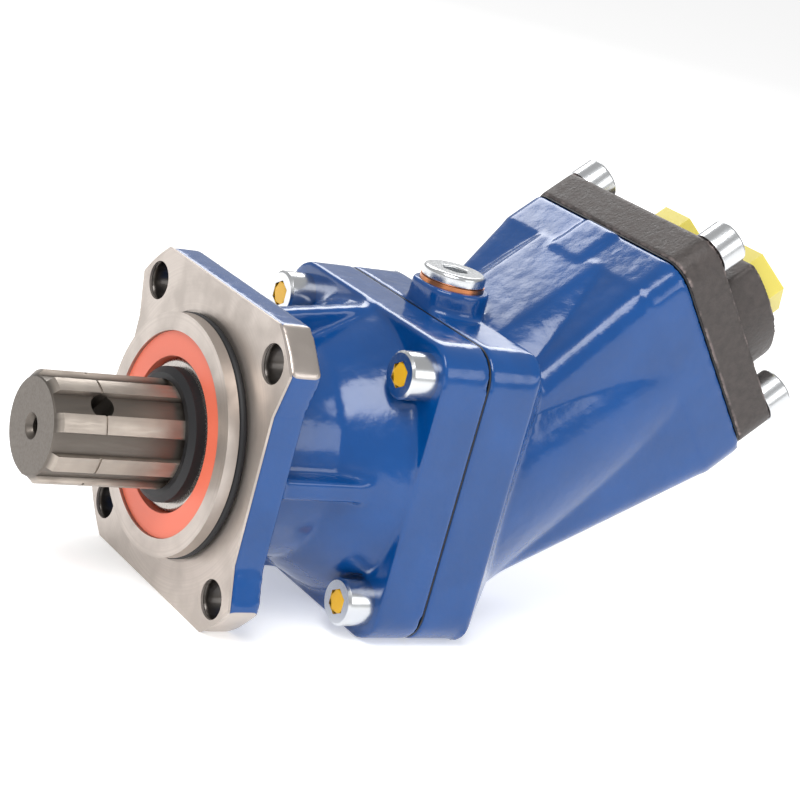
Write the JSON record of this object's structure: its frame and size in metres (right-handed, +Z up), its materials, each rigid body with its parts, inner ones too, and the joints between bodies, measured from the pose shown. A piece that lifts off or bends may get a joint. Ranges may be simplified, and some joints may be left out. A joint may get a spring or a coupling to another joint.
{
  "type": "axial piston pump",
  "caption": "Bent-axis axial piston pump with a square mounting flange, splined drive shaft, tilted cylinder block housing and rear ports under plastic caps.",
  "frame": {"origin": "centre of the pilot on the mounting flange face", "axes": "+X back along the drive shaft into the pump, +Y sideways, +Z up; the cylinder block tilts up towards the rear in the XZ plane"},
  "size_m": [0.2784, 0.102, 0.1565],
  "materials": {
    "blue_enamel": "gloss enamel over cast iron",
    "dark_cast_iron": "phosphated sand casting",
    "black_rubber": "matt",
    "seal_rubber": "matt orange-red",
    "ground_steel": "ground",
    "shaft_steel": "ground and hardened",
    "bearing_steel": "polished",
    "pressed_steel": "pressed",
    "zinc_steel": "zinc plated",
    "copper": "soft copper",
    "yellow_plastic": "moulded",
    "block_bronze_steel": "turned",
    "piston_steel": "ground",
    "ring_iron": "ground"
  },
  "bodies": {
    "housing": {"mounting_flange": "blue_enamel", "bearing_neck": "blue_enamel", "rear_plate": "blue_enamel", "pilot_oring": "black_rubber", "barrel_housing": "blue_enamel", "housing_gasket": "black_rubber", "cover_gasket": "black_rubber", "end_cover": "dark_cast_iron", "housing_screws": "zinc_steel", "cover_screws": "zinc_steel", "vent_washer": "copper", "vent_plug": "zinc_steel", "shaft_seal": "seal_rubber", "front_bearing_cup": "bearing_steel", "rear_bearing_cup": "bearing_steel", "valve_plate": "ground_steel"},
    "shaft": {"drive_shaft": "shaft_steel", "seal_sleeve": "ground_steel", "bearing_nut": "ground_steel", "spline_ring": "black_rubber", "front_bearing_cone": "bearing_steel", "rear_bearing_cone": "bearing_steel", "ball_retainer": "ground_steel", "retainer_screws": "zinc_steel"},
    "front_rollers": {"front_bearing_rollers": "bearing_steel", "front_bearing_cage": "pressed_steel"},
    "rear_rollers": {"rear_bearing_rollers": "bearing_steel", "rear_bearing_cage": "pressed_steel"},
    "block": {"cylinder_block": "block_bronze_steel", "centre_pin": "ground_steel", "centre_spring": "ground_steel"},
    "suction_cap": {"suction_port_cap": "yellow_plastic"},
    "pressure_cap": {"pressure_port_cap": "yellow_plastic"},
    "ball_1": {"piston_ball_1": "piston_steel"},
    "piston_1": {"piston_1": "piston_steel", "piston_rings_1": "ring_iron"},
    "ball_2": {"piston_ball_2": "piston_steel"},
    "piston_2": {"piston_2": "piston_steel", "piston_rings_2": "ring_iron"},
    "ball_3": {"piston_ball_3": "piston_steel"},
    "piston_3": {"piston_3": "piston_steel", "piston_rings_3": "ring_iron"},
    "ball_4": {"piston_ball_4": "piston_steel"},
    "piston_4": {"piston_4": "piston_steel", "piston_rings_4": "ring_iron"},
    "ball_5": {"piston_ball_5": "piston_steel"},
    "piston_5": {"piston_5": "piston_steel", "piston_rings_5": "ring_iron"},
    "ball_6": {"piston_ball_6": "piston_steel"},
    "piston_6": {"piston_6": "piston_steel", "piston_rings_6": "ring_iron"},
    "ball_7": {"piston_ball_7": "piston_steel"},
    "piston_7": {"piston_7": "piston_steel", "piston_rings_7": "ring_iron"}
  },
  "joints": [
    {"name": "shaft_spin", "type": "hinge", "parent": "housing", "child": "shaft", "pos_m": [0, 0, 0], "axis": [1, 0, 0], "continuous": true},
    {"name": "block_spin", "type": "hinge", "parent": "housing", "child": "block", "pos_m": [0.106, 0, 0], "axis": [0.766, 0, 0.6428], "continuous": true},
    {"name": "front_roller_orbit", "type": "hinge", "parent": "housing", "child": "front_rollers", "pos_m": [0.0225, 0, 0], "axis": [1, 0, 0], "continuous": true},
    {"name": "rear_roller_orbit", "type": "hinge", "parent": "housing", "child": "rear_rollers", "pos_m": [0.0645, 0, 0], "axis": [1, 0, 0], "continuous": true},
    {"name": "ball_swivel_1", "type": "hinge", "parent": "shaft", "child": "ball_1", "pos_m": [0.106, 0.0265, 0], "axis": [1, 0, 0], "continuous": true},
    {"name": "rod_swivel_1", "type": "hinge", "parent": "ball_1", "child": "piston_1", "pos_m": [0.106, 0.0265, 0], "axis": [0.766, 0, 0.6428], "continuous": true},
    {"name": "ball_swivel_2", "type": "hinge", "parent": "shaft", "child": "ball_2", "pos_m": [0.106, 0.01652, 0.02072], "axis": [1, 0, 0], "continuous": true},
    {"name": "rod_swivel_2", "type": "hinge", "parent": "ball_2", "child": "piston_2", "pos_m": [0.106, 0.01652, 0.02072], "axis": [0.766, 0, 0.6428], "continuous": true},
    {"name": "ball_swivel_3", "type": "hinge", "parent": "shaft", "child": "ball_3", "pos_m": [0.106, -0.0059, 0.02584], "axis": [1, 0, 0], "continuous": true},
    {"name": "rod_swivel_3", "type": "hinge", "parent": "ball_3", "child": "piston_3", "pos_m": [0.106, -0.0059, 0.02584], "axis": [0.766, 0, 0.6428], "continuous": true},
    {"name": "ball_swivel_4", "type": "hinge", "parent": "shaft", "child": "ball_4", "pos_m": [0.106, -0.02388, 0.0115], "axis": [1, 0, 0], "continuous": true},
    {"name": "rod_swivel_4", "type": "hinge", "parent": "ball_4", "child": "piston_4", "pos_m": [0.106, -0.02388, 0.0115], "axis": [0.766, 0, 0.6428], "continuous": true},
    {"name": "ball_swivel_5", "type": "hinge", "parent": "shaft", "child": "ball_5", "pos_m": [0.106, -0.02388, -0.0115], "axis": [1, 0, 0], "continuous": true},
    {"name": "rod_swivel_5", "type": "hinge", "parent": "ball_5", "child": "piston_5", "pos_m": [0.106, -0.02388, -0.0115], "axis": [0.766, 0, 0.6428], "continuous": true},
    {"name": "ball_swivel_6", "type": "hinge", "parent": "shaft", "child": "ball_6", "pos_m": [0.106, -0.0059, -0.02584], "axis": [1, 0, 0], "continuous": true},
    {"name": "rod_swivel_6", "type": "hinge", "parent": "ball_6", "child": "piston_6", "pos_m": [0.106, -0.0059, -0.02584], "axis": [0.766, 0, 0.6428], "continuous": true},
    {"name": "ball_swivel_7", "type": "hinge", "parent": "shaft", "child": "ball_7", "pos_m": [0.106, 0.01652, -0.02072], "axis": [1, 0, 0], "continuous": true},
    {"name": "rod_swivel_7", "type": "hinge", "parent": "ball_7", "child": "piston_7", "pos_m": [0.106, 0.01652, -0.02072], "axis": [0.766, 0, 0.6428], "continuous": true},
    {"name": "suction_cap_pull", "type": "slide", "parent": "housing", "child": "suction_cap", "axis": [0.766, 0, 0.6428], "range_m": [0, 0.03]},
    {"name": "pressure_cap_pull", "type": "slide", "parent": "housing", "child": "pressure_cap", "axis": [0.766, 0, 0.6428], "range_m": [0, 0.03]}
  ],
  "couplings": [
    {"joint": "block_spin", "follows": "shaft_spin", "ratio": 1},
    {"joint": "front_roller_orbit", "follows": "shaft_spin", "ratio": 0.4465},
    {"joint": "rear_roller_orbit", "follows": "shaft_spin", "ratio": 0.4518},
    {"joint": "ball_swivel_1", "follows": "shaft_spin", "ratio": -1},
    {"joint": "rod_swivel_1", "follows": "shaft_spin", "ratio": -1},
    {"joint": "ball_swivel_2", "follows": "shaft_spin", "ratio": -1},
    {"joint": "rod_swivel_2", "follows": "shaft_spin", "ratio": -1},
    {"joint": "ball_swivel_3", "follows": "shaft_spin", "ratio": -1},
    {"joint": "rod_swivel_3", "follows": "shaft_spin", "ratio": -1},
    {"joint": "ball_swivel_4", "follows": "shaft_spin", "ratio": -1},
    {"joint": "rod_swivel_4", "follows": "shaft_spin", "ratio": -1},
    {"joint": "ball_swivel_5", "follows": "shaft_spin", "ratio": -1},
    {"joint": "rod_swivel_5", "follows": "shaft_spin", "ratio": -1},
    {"joint": "ball_swivel_6", "follows": "shaft_spin", "ratio": -1},
    {"joint": "rod_swivel_6", "follows": "shaft_spin", "ratio": -1},
    {"joint": "ball_swivel_7", "follows": "shaft_spin", "ratio": -1},
    {"joint": "rod_swivel_7", "follows": "shaft_spin", "ratio": -1}
  ]
}
